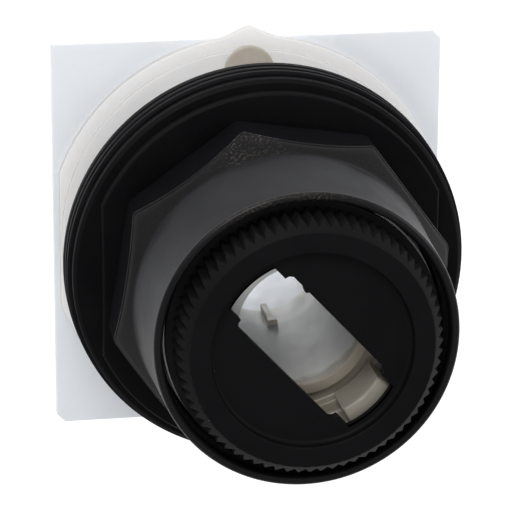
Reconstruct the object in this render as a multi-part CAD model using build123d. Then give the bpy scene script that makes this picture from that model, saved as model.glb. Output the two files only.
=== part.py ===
from build123d import *
from math import cos, radians, sin, sqrt
import os

# Rotary selector operator for a 30.5 mm panel hole, shown without its knob.
# Millimetres. The switch axis is Z and the front, where the knob goes, is +Z.
# +Y is the top of the switch, where the pointer and the locating key are.
# Z = 0 is the seating face that bears on the back of the panel.

# ---- driving dimensions -------------------------------------------------
PLATE_LEFT = -21.05
PLATE_RIGHT = 21.1
PLATE_TOP = 21.45
PLATE_BOTTOM = -21.35
PLATE_FRONT = -1.0
PLATE_BACK = -2.1
PLATE_CHAMFER = 0.9
BOSS_R = 21.75
BOSS_HALF_X = 20.45
BOSS_INNER_R = 20.35
BOSS_STEP = 0.25
BOSS_BACK = -1.3
BOSS_SLIT_X = 3.3
BOSS_SLIT_INNER_Y = 18.4
BOSS_SLIT_OUTER_Y = 21.2
BOSS_SLIT_DEPTH = 0.4
POINTER = [(-4.4, 20.6), (-4.4, 21.13), (-2.3, 21.83), (0, 22.78), (2.3, 21.83), (4.4, 21.13), (4.4, 20.6)]

UPPER_HALF_X = 18.9
UPPER_HALF_Y = 18.0
UPPER_BACK = -10.6
LOWER_HALF_X = 18.2
LOWER_HALF_Y = 15.2
HOUSING_BACK = -19.0
HOUSING_CORNER = 1.5
WALL = 1.2
FRONT_WALL_BACK = -4.0
COVER_THICKNESS = 2.5
LAMP_PASSAGE_R = 7.6

PILOT_R = 15.1
PILOT_HEIGHT = 1.4
NECK_R = 13.95
NECK_BORE_R = 11.9
NECK_END = 31.0

KEY_HALF_WIDTH = 2.7
KEY_ARC_Y = 18.1
KEY_INNER_Y = 15.3
KEY_DEPTH = 0.8
NIB_HALF_WIDTH = 2.35
NIB_OUTER_Y = 17.0
NIB_HEIGHT = 1.2
KEY_FIT = 0.05

STACK_BACK = 8.0
STACK_BORE_R = 14.6
GASKETS = [("gasket_rear", 21.17, 1.35), ("gasket_middle", 21.12, 1.1), ("gasket_front", 21.05, 0.95)]
CLAMP_R = 20.6
CLAMP_THICKNESS = 1.4
TRIM_R = 19.5
TRIM_HALF_FLAT = 17.7
TRIM_THICKNESS = 1.4

NUT_CORNER_R = 17.92
NUT_FIRST_CORNER = 13.5
NUT_FOOT_R = 16.0
NUT_OCT_BACK = 15.8
NUT_CORNER_FRONT = 20.25
BARREL_BASE_R = 15.71
BARREL_BASE = 23.25
LIP_R = 15.26
LIP_FRONT = 34.5
MOUTH_R = 14.36
MOUTH_FLOOR = 31.5
NUT_CLEARANCE = 0.07
NUT_CORNER_ROUND = 0.9
NUT_LIP_ROUND = 0.36

SEAT_TEETH = 72
SEAT_TIP_R = 13.2
SEAT_ROOT_R = 12.5
SEAT_FACE_R = 12.1
SEAT_FRONT = 37.3
SEAT_CROWN = 1.3
SEAT_BACK = 31.5
RECESS_R = 10.05
RECESS_DEPTH = 1.0
RECESS_EDGE = 0.15
SEAT_FLOOR = 1.0
SEAT_SKIRT_R = 13.8
SEAT_SKIRT = 0.7
SLOT_ANGLE = -47.4
SLOT_HALF_WIDTH = 3.65
SLOT_HALF_LENGTH = 7.05
SLOT_END_HALF_WIDTH = 2.95
SLOT_END_R = 9.3
SLOT_CHAMFER = 0.35
SLOT_WAIST_X = -4.8
SLOT_WAIST = 0.5

ROTOR_R = 11.85
ROTOR_CUP_R = 11.3
ROTOR_CUP_BORE_R = 10.0
ROTOR_CUP_END = 33.4
ROTOR_FACE = 30.0
BORE_R = 6.24
BORE_STEP_R = 6.5
BORE_STEP = 12.0
BORE_BACK = 7.0
REAR_BORE_R = 8.3
CUP_STEP = 0.6
CUP_GROOVE_INNER_R = 7.4
CUP_GROOVE_OUTER_R = 8.6
DRIVE_KEY_INNER_R = 8.0
DRIVE_KEY_HALF_SWEEP = 17.0
DRIVE_KEY_END = 34.9
HUB_R = 10.0
HUB_BACK = -15.6
HUB_FIT = 0.03
SHOULDER_R = 13.4
SHOULDER_FRONT = -4.5
SHOULDER_BACK = -6.4
THRUST_WASHER_R = 13.2
THRUST_WASHER_BORE_R = 12.0
THRUST_WASHER_THICKNESS = 0.4
RETAINER_R = 13.0
RETAINER_THICKNESS = 0.3
RETAINER_GAP_START = 194
RETAINER_GAP_STOP = 206
SEAL_Z = 26.9
SEAL_R = 11.12
SEAL_CORD_R = 0.72
SEAL_GROOVE_R = 10.35
SEAL_GROOVE_HALF = 0.9
LAMP_STOP_ANGLE = -86.0
LAMP_STOP_OUTER = 6.9
LAMP_STEM_INNER = 5.85
LAMP_STEM_HALF = 0.3
LAMP_FOOT_INNER = 5.6
LAMP_FOOT_HALF = 0.5
LAMP_FOOT = 0.9

WHEEL_BACK = -9.8
WHEEL_NOTCHES = 8
NOTCH_R = 1.6
NOTCH_DEPTH = 0.8
DETENT_Z = -8.1
DETENT_R = 1.45
DETENT_GAP = 0.1
DETENT_TURN = -45.0
DETENT_INNER = 14.6
DETENT_OUTER = 19.25
DETENT_FIT = 0.05
DETENT_LUG_HALF = 3.0
DETENT_LUG_WALL = 0.85
DETENT_POCKET_R = 1.0
DETENT_POCKET_FLOOR = 0.7
DETENT_PLUNGER_END = 18.2
DETENT_SPRING_R = 0.68
SPRING_WIRE_R = 0.14
PIN_R = 0.6
PIN_INNER = 11.0
PIN_OUTER = 15.7
PIN_ANGLE = 180.0
PIN_SWEEP = 90.0
STOP_GAP = 2.8
STOP_WIDTH = 9.0
STOP_INNER_R = 14.0
STOP_OUTER_R = 16.2
STOP_BACK = -6.2

CAM_R = 13.5
CAM_FRONT = -10.5
CAM_MIDDLE = -13.1
PUSHER_X = 13.0
PUSHER_R = 2.0
PUSHER_TRAVEL = 3.0
PUSHER_GAP = 0.1
PUSHER_BACK = -23.0
PUSHER_COLLAR_R = 2.7
PUSHER_COLLAR_DROP = 3.2
PUSHER_COLLAR_TOP_DROP = 2.0
PUSHER_FIT = 0.06
PUSHER_SPRING_R = 2.3

SCREW_X = 15.4
SCREW_Y = 12.3
SCREW_R = 1.1
SCREW_HEAD_R = 2.35
SCREW_LENGTH = 8.0
SCREW_HOLE_R = 1.3
SCREW_SINK_R = 2.5
SCREW_SINK = 1.2
SCREW_PILOT_R = 1.15
SCREW_PILOT_DEPTH = 8.2
SCREW_CROSS_HALF = 1.4
SCREW_CROSS_HALF_WIDTH = 0.25
POST_R = 2.5
INSERT_Y = 10.8
INSERT_BOSS_R = 3.1
INSERT_R = 2.38
INSERT_HOLE_R = 1.5
INSERT_BOSS = 2.9
FUSE = 0.1
FIT = 0.02


# ---- small helpers ------------------------------------------------------
def disc(radius, low, high):
    return Pos(0, 0, low) * extrude(Circle(radius), high - low)


def ring(outer, inner, low, high):
    return disc(outer, low, high) - disc(inner, low - 1, high + 1)


def block(x_low, x_high, y_low, y_high, z_low, z_high):
    size = Box(x_high - x_low, y_high - y_low, z_high - z_low)
    return Pos((x_low + x_high) / 2, (y_low + y_high) / 2, (z_low + z_high) / 2) * size


def turned(points):
    """Solid of revolution about Z from (radius, height) points."""
    face = make_face(Polyline(*points, close=True))
    return revolve(Plane.XZ * face, Axis.Z)


def at_angle(angle, radius, height=0.0):
    return (radius * cos(radians(angle)), radius * sin(radians(angle)), height)


def screw_spots():
    return [(x, y) for x in (-SCREW_X, SCREW_X) for y in (-SCREW_Y, SCREW_Y)]


def sector(inner, outer, low, high, start, stop):
    """Part of a ring between two angles, in degrees."""
    reach = outer * 1.6
    wedge = make_face(Polyline((0, 0), at_angle(start, reach)[:2],
                               at_angle((start + stop) / 2, reach)[:2],
                               at_angle(stop, reach)[:2], close=True))
    return ring(outer, inner, low, high) & Pos(0, 0, low) * extrude(wedge, high - low)


def coil(mean_radius, wire_radius, length, turns):
    """Round-wire compression spring along Z, from Z = 0."""
    rise = length - 2 * wire_radius
    path = Pos(0, 0, wire_radius) * Helix(pitch=rise / turns, height=rise, radius=mean_radius)
    section = Plane(origin=path @ 0, z_dir=path % 0) * Circle(wire_radius)
    return sweep(section, path=path, is_frenet=True)


# ---- white base ---------------------------------------------------------
def plate_outline():
    """Square with two of its corners cut off."""
    cut = PLATE_CHAMFER
    corners = [(PLATE_LEFT, PLATE_TOP), (PLATE_RIGHT - cut, PLATE_TOP), (PLATE_RIGHT, PLATE_TOP - cut),
               (PLATE_RIGHT, PLATE_BOTTOM), (PLATE_LEFT + cut, PLATE_BOTTOM), (PLATE_LEFT, PLATE_BOTTOM + cut)]
    return make_face(Polyline(*corners, close=True))


def housing_block(half_x, half_y, low, high):
    outline = RectangleRounded(2 * half_x, 2 * half_y, HOUSING_CORNER)
    return Pos(0, 0, low) * extrude(outline, high - low)


def key_outline(margin):
    half = KEY_HALF_WIDTH + margin
    stem_length = KEY_ARC_Y - KEY_INNER_Y + margin
    stem = Pos(0, KEY_ARC_Y - stem_length / 2) * Rectangle(2 * half, stem_length)
    return stem + Pos(0, KEY_ARC_Y) * Circle(half)


def boss():
    thickness = -BOSS_STEP - BOSS_BACK
    low = Pos(0, 0, BOSS_BACK) * extrude(Circle(BOSS_R) & Rectangle(2 * BOSS_HALF_X, 2 * BOSS_R), thickness)
    high = Pos(0, 0, -BOSS_STEP) * extrude(Circle(BOSS_INNER_R), BOSS_STEP)
    pointer = Pos(0, 0, BOSS_BACK) * extrude(make_face(Polyline(*POINTER, close=True)), thickness)
    return low + high + pointer


def housing():
    """Box behind the plate, wider at the front for the detents than at the back."""
    body = housing_block(UPPER_HALF_X, UPPER_HALF_Y, UPPER_BACK, PLATE_BACK + FUSE)
    body += housing_block(LOWER_HALF_X, LOWER_HALF_Y, HOUSING_BACK, UPPER_BACK + FUSE)
    body -= housing_block(UPPER_HALF_X - WALL, UPPER_HALF_Y - WALL, UPPER_BACK + WALL, FRONT_WALL_BACK)
    body -= housing_block(LOWER_HALF_X - WALL, LOWER_HALF_Y - WALL, HOUSING_BACK - 1, UPPER_BACK + WALL + FUSE)
    for x, y in screw_spots():
        body += Pos(x, y, 0) * disc(POST_R, HOUSING_BACK, FRONT_WALL_BACK + 0.5)
    lug = block(-DETENT_LUG_HALF, DETENT_LUG_HALF, DETENT_INNER, DETENT_OUTER + DETENT_LUG_WALL,
                UPPER_BACK + 0.4, FRONT_WALL_BACK + 0.5)
    bore_length = DETENT_OUTER - DETENT_INNER + 1
    bore = Pos(0, DETENT_INNER - 1, DETENT_Z) * Rot(-90, 0, 0) * disc(DETENT_R + DETENT_FIT, 0, bore_length)
    for turn in (DETENT_TURN, DETENT_TURN + 180):
        body += Rot(0, 0, turn) * lug
    for turn in (DETENT_TURN, DETENT_TURN + 180):
        body -= Rot(0, 0, turn) * bore
    for x, y in screw_spots():
        body -= Pos(x, y, 0) * disc(SCREW_PILOT_R, HOUSING_BACK - 1, HOUSING_BACK + SCREW_PILOT_DEPTH)
    return body


def operator_base():
    body = Pos(0, 0, PLATE_BACK) * extrude(plate_outline(), PLATE_FRONT - PLATE_BACK)
    body += housing()
    body += boss()
    body += disc(PILOT_R, PLATE_FRONT, PILOT_HEIGHT)
    body += disc(NECK_R, PLATE_FRONT, NECK_END)
    for start in (PIN_ANGLE + STOP_GAP, PIN_ANGLE - PIN_SWEEP - STOP_GAP - STOP_WIDTH):
        body += sector(STOP_INNER_R, STOP_OUTER_R, STOP_BACK, FRONT_WALL_BACK + 0.5, start, start + STOP_WIDTH)
    body -= disc(NECK_BORE_R, FRONT_WALL_BACK - 1, NECK_END + 1)
    body -= Pos(0, 0, -KEY_DEPTH - KEY_FIT) * extrude(key_outline(KEY_FIT), KEY_DEPTH + 1)
    for x in (-BOSS_SLIT_X, BOSS_SLIT_X):
        body -= block(x - 0.1, x + 0.1, BOSS_SLIT_INNER_Y, BOSS_SLIT_OUTER_Y, -BOSS_SLIT_DEPTH, 1)
    return body


def locating_key():
    key = Pos(0, 0, -KEY_DEPTH) * extrude(key_outline(0), KEY_DEPTH)
    nib = block(-NIB_HALF_WIDTH, NIB_HALF_WIDTH, KEY_INNER_Y, NIB_OUTER_Y, -0.5, NIB_HEIGHT)
    nib = chamfer(nib.faces().sort_by(Axis.Z)[-1].edges(), 0.3)
    return key + nib


# ---- clamping stack -----------------------------------------------------
def gaskets():
    layers = []
    low = STACK_BACK
    for name, radius, thickness in GASKETS:
        layer = ring(radius, STACK_BORE_R, low, low + thickness)
        rim = layer.edges().filter_by(GeomType.CIRCLE).filter_by(lambda e: abs(e.radius - radius) < 0.01)
        layers.append((name, fillet(rim, thickness * 0.3)))
        low += thickness
    return layers, low


def clamp_washer(low):
    high = low + CLAMP_THICKNESS
    washer = ring(CLAMP_R, STACK_BORE_R, low, high)
    rim = washer.edges().filter_by(lambda e: e.geom_type == GeomType.CIRCLE and e.radius > CLAMP_R - 0.01)
    return chamfer(rim, 0.2), high


def trim_washer(low):
    high = low + TRIM_THICKNESS
    outline = Circle(TRIM_R) & Rectangle(2 * TRIM_HALF_FLAT, 60)
    washer = Pos(0, 0, low) * extrude(outline, TRIM_THICKNESS)
    washer = chamfer(washer.faces().sort_by(Axis.Z)[-1].edges(), 0.25)
    return washer - disc(STACK_BORE_R, low - 1, high + 1), high


def ring_nut(low):
    foot = disc(NUT_FOOT_R, low + 0.03, NUT_OCT_BACK + FUSE)
    corners = RegularPolygon(NUT_CORNER_R, 8, rotation=NUT_FIRST_CORNER)
    prism = extrude(fillet(corners.vertices(), NUT_CORNER_ROUND), BARREL_BASE - NUT_OCT_BACK)
    slope = (NUT_CORNER_R - BARREL_BASE_R) / (BARREL_BASE - NUT_CORNER_FRONT)
    rim_r = NUT_CORNER_R + 0.4
    rim_z = NUT_CORNER_FRONT - 0.4 / slope
    crown = turned([(0, NUT_OCT_BACK), (rim_r - 0.8, NUT_OCT_BACK), (rim_r, NUT_OCT_BACK + 0.6), (rim_r, rim_z),
                    (BARREL_BASE_R, BARREL_BASE), (0, BARREL_BASE)])
    octagon = (Pos(0, 0, NUT_OCT_BACK) * prism) & crown
    barrel = turned([(0, NUT_OCT_BACK + 1), (BARREL_BASE_R, NUT_OCT_BACK + 1), (BARREL_BASE_R, BARREL_BASE),
                     (LIP_R, LIP_FRONT), (0, LIP_FRONT)])
    nut = foot + octagon + barrel
    nut -= disc(NECK_R + NUT_CLEARANCE, low - 1, MOUTH_FLOOR + 0.1)
    nut -= disc(MOUTH_R, MOUTH_FLOOR, LIP_FRONT + 1)
    lip = nut.edges().filter_by(GeomType.CIRCLE).filter_by(lambda e: abs(e.center().Z - LIP_FRONT) < 0.01)
    return fillet(lip, NUT_LIP_ROUND)


# ---- knob seat ----------------------------------------------------------
def knob_slot():
    wide = Rectangle(2 * SLOT_HALF_LENGTH, 2 * SLOT_HALF_WIDTH)
    wide = chamfer(wide.vertices(), SLOT_CHAMFER)
    ends = Circle(SLOT_END_R) & Rectangle(2 * SLOT_END_R, 2 * SLOT_END_HALF_WIDTH)
    waist = Pos(SLOT_WAIST_X, SLOT_HALF_WIDTH) * Rectangle(SLOT_WAIST, SLOT_WAIST)
    return Rot(0, 0, SLOT_ANGLE) * (wide + ends - waist)


def knob_seat():
    step = 180.0 / SEAT_TEETH
    star = [at_angle(i * step, SEAT_TIP_R if i % 2 == 0 else SEAT_ROOT_R)[:2] for i in range(2 * SEAT_TEETH)]
    toothed = Pos(0, 0, SEAT_BACK) * extrude(make_face(Polyline(*star, close=True)), SEAT_FRONT - SEAT_BACK)
    crown = turned([(0, SEAT_BACK), (SEAT_ROOT_R, SEAT_BACK), (SEAT_TIP_R, SEAT_BACK + 0.8),
                    (SEAT_TIP_R, SEAT_FRONT - SEAT_CROWN), (SEAT_FACE_R, SEAT_FRONT), (0, SEAT_FRONT)])
    seat = toothed & crown
    floor_top = SEAT_FRONT - RECESS_DEPTH
    floor_back = floor_top - SEAT_FLOOR
    rim_r = RECESS_R + RECESS_EDGE
    seat -= turned([(0, floor_top), (RECESS_R - 0.3, floor_top), (RECESS_R, floor_top + 0.3),
                    (RECESS_R, SEAT_FRONT - RECESS_EDGE), (rim_r, SEAT_FRONT), (rim_r, SEAT_FRONT + 1),
                    (0, SEAT_FRONT + 1)])
    seat += disc(SEAT_SKIRT_R, SEAT_BACK, SEAT_BACK + SEAT_SKIRT)
    seat -= disc(ROTOR_CUP_R + 0.03, SEAT_BACK - 1, floor_back)
    seat -= Pos(0, 0, floor_back - 1) * extrude(knob_slot(), SEAT_FLOOR + 3)
    return seat


# ---- white rotor and what it carries -------------------------------------
def rotor_sleeve():
    body = disc(ROTOR_R, SHOULDER_FRONT - FUSE, NECK_END + 0.05)
    body += disc(ROTOR_CUP_R, NECK_END, ROTOR_CUP_END)
    body += disc(SHOULDER_R, SHOULDER_BACK, SHOULDER_FRONT)
    body += disc(HUB_R, HUB_BACK, SHOULDER_BACK + FUSE)
    body -= disc(ROTOR_CUP_BORE_R, ROTOR_FACE + CUP_STEP, ROTOR_CUP_END + 1)
    body -= disc(CUP_GROOVE_OUTER_R, ROTOR_FACE, ROTOR_CUP_END)
    body -= ring(CUP_GROOVE_OUTER_R, CUP_GROOVE_INNER_R, ROTOR_FACE - CUP_STEP, ROTOR_FACE + 1)
    body -= disc(BORE_R, BORE_STEP - 1, ROTOR_FACE + 1)
    body -= disc(BORE_STEP_R, BORE_BACK - 1, BORE_STEP)
    body -= disc(REAR_BORE_R, HUB_BACK - 1, BORE_BACK)
    body -= ring(ROTOR_R + 1, SEAL_GROOVE_R, SEAL_Z - SEAL_GROOVE_HALF, SEAL_Z + SEAL_GROOVE_HALF)
    body += sector(DRIVE_KEY_INNER_R, ROTOR_CUP_BORE_R + 0.2, ROTOR_FACE - CUP_STEP, DRIVE_KEY_END,
                   SLOT_ANGLE - DRIVE_KEY_HALF_SWEEP, SLOT_ANGLE + DRIVE_KEY_HALF_SWEEP)
    body -= stop_pin(FIT)
    body -= lamp_stop(FIT)
    return body


def lamp_stop(margin=0.0):
    """Rib set into the wall of the bore, with a small square foot at its front end."""
    outer = LAMP_STOP_OUTER + margin
    stem_half = LAMP_STEM_HALF + margin
    foot_half = LAMP_FOOT_HALF + margin
    stem = block(LAMP_STEM_INNER - margin, outer, -stem_half, stem_half, BORE_BACK - margin, BORE_STEP + FUSE)
    foot_end = BORE_STEP + LAMP_FOOT + margin
    foot = block(LAMP_FOOT_INNER - margin, outer, -foot_half, foot_half, BORE_STEP, foot_end)
    return Rot(0, 0, LAMP_STOP_ANGLE) * (stem + foot)


def stop_pin(margin=0.0):
    pin = Rot(0, 90, 0) * disc(PIN_R + margin, PIN_INNER, PIN_OUTER)
    return Rot(0, 0, PIN_ANGLE) * Pos(0, 0, (SHOULDER_FRONT + SHOULDER_BACK) / 2) * pin


def neck_seal():
    return Pos(0, 0, SEAL_Z) * Torus(SEAL_R, SEAL_CORD_R)


def thrust_washer():
    front = FRONT_WALL_BACK - FIT
    return ring(THRUST_WASHER_R, THRUST_WASHER_BORE_R, front - THRUST_WASHER_THICKNESS, front)


def retaining_ring():
    low = NECK_END + 4 * FIT
    clip = ring(RETAINER_R, ROTOR_CUP_R + 0.03, low, low + RETAINER_THICKNESS)
    gap = sector(RETAINER_R - 3, RETAINER_R + 2, NECK_END, NECK_END + 1, RETAINER_GAP_START, RETAINER_GAP_STOP)
    return clip - gap


def detent_wheel():
    wheel = ring(SHOULDER_R, HUB_R + HUB_FIT, WHEEL_BACK, SHOULDER_BACK - FIT)
    notch_centre = SHOULDER_R - NOTCH_DEPTH + NOTCH_R
    for i in range(WHEEL_NOTCHES):
        spot = at_angle(i * 360.0 / WHEEL_NOTCHES, notch_centre)
        wheel -= Pos(*spot) * disc(NOTCH_R, WHEEL_BACK - 1, SHOULDER_BACK + 1)
    return wheel


def cam_tilt():
    """Rise of the sloping cam face per millimetre, from the travel at a quarter turn."""
    return PUSHER_TRAVEL / (sqrt(2) * PUSHER_X)


def cam_ring():
    cam = ring(CAM_R, HUB_R + HUB_FIT, CAM_MIDDLE - 3, CAM_FRONT)
    slope = cam_tilt() / sqrt(2)
    face = Plane(origin=(0, 0, CAM_MIDDLE), z_dir=(-slope, slope, 1))
    return split(cam, bisect_by=face, keep=Keep.TOP)


# ---- followers ----------------------------------------------------------
def along_detent(side, shape):
    """Lays a shape built along Z along one of the two opposite detent bores."""
    return Rot(0, 0, DETENT_TURN) * Pos(0, 0, DETENT_Z) * Rot(-90 * side, 0, 0) * shape


def detent_plunger(side):
    ball = SHOULDER_R + DETENT_GAP + DETENT_R
    body = disc(DETENT_R, ball, DETENT_PLUNGER_END) + Pos(0, 0, ball) * Sphere(DETENT_R)
    body -= disc(DETENT_POCKET_R, ball + DETENT_POCKET_FLOOR, DETENT_PLUNGER_END + 1)
    return along_detent(side, body)


def detent_spring(side):
    low = SHOULDER_R + DETENT_GAP + DETENT_R + DETENT_POCKET_FLOOR + 0.05
    high = DETENT_OUTER - 0.05
    return along_detent(side, Pos(0, 0, low) * coil(DETENT_SPRING_R, SPRING_WIRE_R, high - low, 5))


def pusher(side):
    """The right-hand pusher starts released and the left-hand one starts pressed."""
    drop = 0.0 if side > 0 else PUSHER_TRAVEL
    tip = CAM_MIDDLE + PUSHER_TRAVEL / 2 - PUSHER_GAP - drop
    rod = disc(PUSHER_R, PUSHER_BACK - drop, tip - PUSHER_R)
    rod += Pos(0, 0, tip - PUSHER_R) * Sphere(PUSHER_R)
    rod += disc(PUSHER_COLLAR_R, tip - PUSHER_COLLAR_DROP, tip - PUSHER_COLLAR_TOP_DROP)
    return Pos(side * PUSHER_X, 0, 0) * rod


def pusher_spring(side):
    drop = 0.0 if side > 0 else PUSHER_TRAVEL
    seat = CAM_MIDDLE + PUSHER_TRAVEL / 2 - PUSHER_GAP - drop - PUSHER_COLLAR_DROP
    length = seat - HOUSING_BACK - 0.06
    return Pos(side * PUSHER_X, 0, HOUSING_BACK + 0.03) * coil(PUSHER_SPRING_R, SPRING_WIRE_R, length, 2.5)


# ---- rear cover and fasteners --------------------------------------------
def rear_cover():
    back = HOUSING_BACK - COVER_THICKNESS
    body = housing_block(LOWER_HALF_X, LOWER_HALF_Y, back, HOUSING_BACK)
    body = chamfer(body.faces().sort_by(Axis.Z)[0].edges(), 0.5)
    insert_boss = disc(INSERT_BOSS_R, HOUSING_BACK - FUSE, HOUSING_BACK + INSERT_BOSS)
    for side in (-1, 1):
        body += Pos(0, side * INSERT_Y, 0) * insert_boss
        body -= Pos(0, side * INSERT_Y, 0) * disc(INSERT_R + FIT, back - 1, HOUSING_BACK + 4)
        body -= Pos(side * PUSHER_X, 0, 0) * disc(PUSHER_R + PUSHER_FIT, back - 1, HOUSING_BACK + 1)
    sink = turned([(0, back - FUSE), (SCREW_SINK_R, back - FUSE), (SCREW_SINK_R, back),
                   (SCREW_HOLE_R, back + SCREW_SINK), (0, back + SCREW_SINK)])
    for x, y in screw_spots():
        body -= Pos(x, y, 0) * (disc(SCREW_HOLE_R, back - 1, HOUSING_BACK + 1) + sink)
    return body - disc(LAMP_PASSAGE_R, back - 1, HOUSING_BACK + 1)


def cover_screws():
    head = HOUSING_BACK - COVER_THICKNESS + 0.05
    tip = HOUSING_BACK + SCREW_LENGTH
    screw = turned([(0, head), (SCREW_HEAD_R, head), (SCREW_R, head + SCREW_SINK), (SCREW_R, tip - 1),
                    (0.4, tip), (0, tip)])
    cross = block(-SCREW_CROSS_HALF, SCREW_CROSS_HALF, -SCREW_CROSS_HALF_WIDTH, SCREW_CROSS_HALF_WIDTH,
                  head - 1, head + 0.75)
    screw -= cross + Rot(0, 0, 90) * cross
    return Compound([Pos(x, y, 0) * screw for x, y in screw_spots()])


def mounting_inserts():
    back = HOUSING_BACK - COVER_THICKNESS
    sleeve = ring(INSERT_R, INSERT_HOLE_R, back, HOUSING_BACK + INSERT_BOSS - FUSE)
    return Compound([Pos(0, side * INSERT_Y, 0) * sleeve for side in (-1, 1)])


# ---- write every piece ----------------------------------------------------
def build():
    layers, top = gaskets()
    washer, top = clamp_washer(top)
    trim, top = trim_washer(top)
    pieces = dict(layers)
    pieces.update({
        "operator_base": operator_base(),
        "locating_key": locating_key(),
        "clamp_washer": washer,
        "trim_washer": trim,
        "ring_nut": ring_nut(top),
        "knob_seat": knob_seat(),
        "rotor_sleeve": rotor_sleeve(),
        "lamp_stop": lamp_stop(),
        "stop_pin": stop_pin(),
        "neck_seal": neck_seal(),
        "thrust_washer": thrust_washer(),
        "retaining_ring": retaining_ring(),
        "detent_wheel": detent_wheel(),
        "cam_ring": cam_ring(),
        "detent_plunger_upper": detent_plunger(1),
        "detent_plunger_lower": detent_plunger(-1),
        "detent_spring_upper": detent_spring(1),
        "detent_spring_lower": detent_spring(-1),
        "pusher_right": pusher(1),
        "pusher_left": pusher(-1),
        "pusher_spring_right": pusher_spring(1),
        "pusher_spring_left": pusher_spring(-1),
        "rear_cover": rear_cover(),
        "cover_screws": cover_screws(),
        "mounting_inserts": mounting_inserts(),
    })
    os.makedirs("parts", exist_ok=True)
    for name, shape in pieces.items():
        export_step(shape, "parts/" + name + ".step")


build()
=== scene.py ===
import bpy
from math import acos, atan2, ceil, cos, degrees, hypot, pi, radians, sin, sqrt, tan
from mathutils import Euler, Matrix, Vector


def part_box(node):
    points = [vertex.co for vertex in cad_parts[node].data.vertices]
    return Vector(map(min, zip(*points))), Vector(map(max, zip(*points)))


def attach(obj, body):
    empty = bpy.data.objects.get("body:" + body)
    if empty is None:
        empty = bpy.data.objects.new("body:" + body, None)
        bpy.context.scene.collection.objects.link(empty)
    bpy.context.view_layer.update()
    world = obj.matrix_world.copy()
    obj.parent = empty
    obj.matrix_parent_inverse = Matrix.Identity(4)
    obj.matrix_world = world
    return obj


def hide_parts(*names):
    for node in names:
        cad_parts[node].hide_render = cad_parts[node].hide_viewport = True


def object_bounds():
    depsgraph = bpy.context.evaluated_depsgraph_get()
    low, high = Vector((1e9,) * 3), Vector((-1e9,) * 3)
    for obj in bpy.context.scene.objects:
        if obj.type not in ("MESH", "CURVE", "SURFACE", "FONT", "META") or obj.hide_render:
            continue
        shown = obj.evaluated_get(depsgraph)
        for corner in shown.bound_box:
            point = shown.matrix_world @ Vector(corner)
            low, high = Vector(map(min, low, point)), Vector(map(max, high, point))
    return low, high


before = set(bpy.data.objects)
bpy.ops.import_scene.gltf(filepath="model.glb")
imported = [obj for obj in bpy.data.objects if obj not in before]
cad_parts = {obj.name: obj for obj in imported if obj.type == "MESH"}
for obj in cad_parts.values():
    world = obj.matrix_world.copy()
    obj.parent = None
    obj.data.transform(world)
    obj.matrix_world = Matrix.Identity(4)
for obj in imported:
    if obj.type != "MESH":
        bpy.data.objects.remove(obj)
cad_low, cad_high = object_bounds()

# Shapes below are in millimetres and are scaled once, when a mesh is made.
MM = 0.001

# ---- places read from the frame, in millimetres ---------------------------
def height(node, end):
    """Lowest (0) or highest (1) Z of a CAD node."""
    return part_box(node)[end][2] / MM


LIP_FRONT = height("ring_nut", 1)
NUT_BACK = height("ring_nut", 0)
SEAT_FRONT = height("knob_seat", 1)
SEAT_BACK = height("knob_seat", 0)
NECK_END = height("operator_base", 1)
HOUSING_BACK = height("operator_base", 0)

# ---- driving dimensions shared with the CAD model --------------------------
PLATE_LEFT, PLATE_RIGHT, PLATE_TOP, PLATE_BOTTOM = -21.05, 21.1, 21.45, -21.35
PLATE_CHAMFER = 0.9
PLATE_FRONT, PLATE_BACK = -1.0, -2.1
BOSS_R, BOSS_HALF_X, BOSS_INNER_R, BOSS_STEP, BOSS_BACK = 21.75, 20.45, 20.35, 0.25, -1.3
POINTER = [(4.4, 21.13), (2.3, 21.83), (0.2, 22.78), (-0.2, 22.78), (-2.3, 21.83), (-4.4, 21.13)]
UPPER_HALF_X, UPPER_HALF_Y, UPPER_BACK = 18.9, 18.0, -10.6
LOWER_HALF_X, LOWER_HALF_Y = 18.2, 15.2
HOUSING_CORNER, FRONT_WALL_BACK = 1.5, -4.0
PILOT_R, PILOT_HEIGHT = 15.1, 1.4
NECK_R, NECK_BORE_R = 13.95, 11.9
WALL = 1.2
THREAD_PITCH, THREAD_HEIGHT = 1.5, 0.34
STACK_BORE_R, CLAMP_R, TRIM_R, TRIM_HALF_FLAT = 14.6, 20.6, 19.5, 17.7
GASKET_RADII = {"gasket_rear": 21.16, "gasket_middle": 21.12, "gasket_front": 21.05}
NUT_CORNER_R, NUT_FIRST_CORNER, NUT_FOOT_R = 17.92, 13.5, 16.0
NUT_OCT_BACK, NUT_CORNER_FRONT, NUT_CORNER_ROUND = 15.8, 20.25, 0.9
BARREL_BASE_R, BARREL_BASE = 15.71, 23.25
LIP_R, MOUTH_R, MOUTH_STEP, MOUTH_STEP_FRONT, MOUTH_STEP_BACK = 15.26, 14.36, 0.16, 33.1, 31.6
SEAT_TEETH, SEAT_TIP_R, SEAT_ROOT_R, SEAT_FACE_R = 72, 13.2, 12.5, 12.1
RECESS_R, RECESS_DEPTH, SEAT_FLOOR = 10.05, 1.0, 1.0
SEAT_SKIRT_R, SEAT_SKIRT, SEAT_CROWN_DEPTH = 13.8, 0.7, 1.9
SLOT_ANGLE, SLOT_HALF_WIDTH, SLOT_HALF_LENGTH = -47.4, 3.65, 7.05
SLOT_END_HALF_WIDTH, SLOT_END_R = 2.95, 9.3
ROTOR_R, ROTOR_CUP_R, ROTOR_CUP_BORE_R, ROTOR_FACE = 11.85, 11.3, 10.0, 30.0
ROTOR_CUP_END, CUP_STEP, CUP_GROOVE_OUTER_R, CUP_GROOVE_INNER_R = 33.4, 0.6, 8.6, 7.4
BORE_R, BORE_STEP_R, BORE_STEP, BORE_BACK, REAR_BORE_R = 6.24, 6.5, 12.0, 7.0, 8.3
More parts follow.
